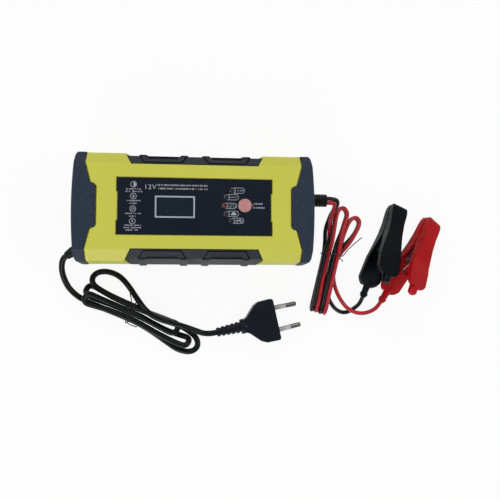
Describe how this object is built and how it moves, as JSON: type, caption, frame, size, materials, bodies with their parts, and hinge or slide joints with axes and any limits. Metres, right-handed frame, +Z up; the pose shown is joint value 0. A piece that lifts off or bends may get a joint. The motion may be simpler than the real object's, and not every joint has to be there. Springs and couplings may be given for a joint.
{
  "type": "car battery charger",
  "caption": "Car battery charger: chamfered plastic housing with display panel, mode button and fan, mains lead with plug, and output leads with spring clamps, the cords tied in hanks.",
  "frame": {"origin": "on the ground under the middle of the housing, at the bottom of its feet", "axes": "+X along the housing towards the output leads, +Y to the rear, away from the plug, +Z up"},
  "size_m": [0.3188, 0.1604, 0.0506],
  "materials": {
    "cover_yellow": "moulded yellow ABS with a fine satin texture",
    "cap_blue_black": "textured blue-black ABS with fine pale speckle",
    "grip_rubber": "textured blue-black rubber",
    "panel_film": "printed dark film with a satin face",
    "window": "smoked acrylic window",
    "lens": "smoked clear lamp lens",
    "button_red": "soft pinkish red silicone button",
    "black_rubber": "black moulded rubber",
    "board": "green solder-masked circuit board",
    "component_black": "black moulded component",
    "ferrite": "dark ferrite core with taped windings",
    "capacitor": "sleeved aluminium can",
    "copper": "enamelled copper winding",
    "aluminium": "extruded aluminium",
    "screw_steel": "zinc plated steel screws",
    "shaft_steel": "ground steel",
    "lcd": "dark display module",
    "led": "red lamp bodies",
    "mains_cord": "smooth black PVC sheath",
    "wire_black": "smooth black PVC insulation",
    "wire_red": "smooth red PVC insulation",
    "inner_wire": "PVC insulated inner leads",
    "tie_wire": "black plastic coated tie wire",
    "plug_black": "glossy black moulded PVC",
    "pin_nickel": "nickel plated brass pins",
    "pin_sleeve": "grey insulating sleeves",
    "clamp_black": "glossy black PVC clamp grips",
    "clamp_red": "glossy red PVC clamp grips",
    "clamp_steel": "zinc plated pressed steel"
  },
  "bodies": {
    "housing": {"top_cover": "cover_yellow", "bottom_cover": "cover_yellow", "left_end_cap": "cap_blue_black", "right_end_cap": "cap_blue_black", "front_grip": "grip_rubber", "rear_grip": "grip_rubber", "panel_overlay": "panel_film", "display_window": "window", "indicator_lenses": "lens", "cap_screws": "screw_steel", "rubber_feet": "black_rubber", "display_board": "board", "lcd_module": "lcd", "indicator_leds": "led", "tact_switch": "component_black", "main_board": "board", "transformer": "ferrite", "primary_capacitor": "capacitor", "output_capacitors": "capacitor", "heat_sink": "aluminium", "power_transistors": "component_black", "choke": "copper", "fuse": "shaft_steel", "rectifier": "component_black", "board_screws": "screw_steel", "inner_leads": "inner_wire", "fan_frame": "component_black", "fan_screws": "screw_steel", "mains_gland": "black_rubber", "dc_gland": "black_rubber", "mains_cord_lead": "mains_cord", "mains_cord_hank": "mains_cord", "mains_cord_tail": "mains_cord", "mains_tie": "tie_wire", "dc_tie": "tie_wire", "plug_body": "plug_black", "plug_pins": "pin_nickel", "plug_pin_sleeves": "pin_sleeve", "clamp_pins": "clamp_steel", "black_lead_start": "wire_black", "black_lead_hank": "wire_black", "black_lead_tail": "wire_black", "black_clamp_lower_grip": "clamp_black", "black_clamp_lower_jaw": "clamp_steel", "black_clamp_spring": "clamp_steel", "red_lead_start": "wire_red", "red_lead_hank": "wire_red", "red_lead_tail": "wire_red", "red_clamp_lower_grip": "clamp_red", "red_clamp_lower_jaw": "clamp_steel", "red_clamp_spring": "clamp_steel"},
    "button": {"mode_button": "button_red", "switch_plunger": "component_black"},
    "fan": {"fan_rotor": "component_black", "fan_shaft": "shaft_steel"},
    "black_clamp_arm": {"black_clamp_upper_grip": "clamp_black", "black_clamp_upper_jaw": "clamp_steel"},
    "red_clamp_arm": {"red_clamp_upper_grip": "clamp_red", "red_clamp_upper_jaw": "clamp_steel"}
  },
  "joints": [
    {"name": "button_press", "type": "slide", "parent": "housing", "child": "button", "axis": [0, 0, -1], "range_m": [0, 0.0008], "stiffness_N_per_m": 1000},
    {"name": "fan_spin", "type": "hinge", "parent": "housing", "child": "fan", "pos_m": [-0.0855, 0, 0.026], "axis": [1, 0, 0], "continuous": true},
    {"name": "black_clamp_open", "type": "hinge", "parent": "housing", "child": "black_clamp_arm", "pos_m": [0.1624, -0.0253, 0.01312], "axis": [0.9099, -0.3743, -0.1788], "range_deg": [0, 35], "stiffness_Nm_per_rad": 0.3, "springref_deg": -22.92, "deforming": ["black_clamp_spring"]},
    {"name": "red_clamp_open", "type": "hinge", "parent": "housing", "child": "red_clamp_arm", "pos_m": [0.1868, -0.0348, 0.01411], "axis": [0.7774, -0.5217, -0.3515], "range_deg": [0, 35], "stiffness_Nm_per_rad": 0.3, "springref_deg": -22.92, "deforming": ["red_clamp_spring"]}
  ]
}
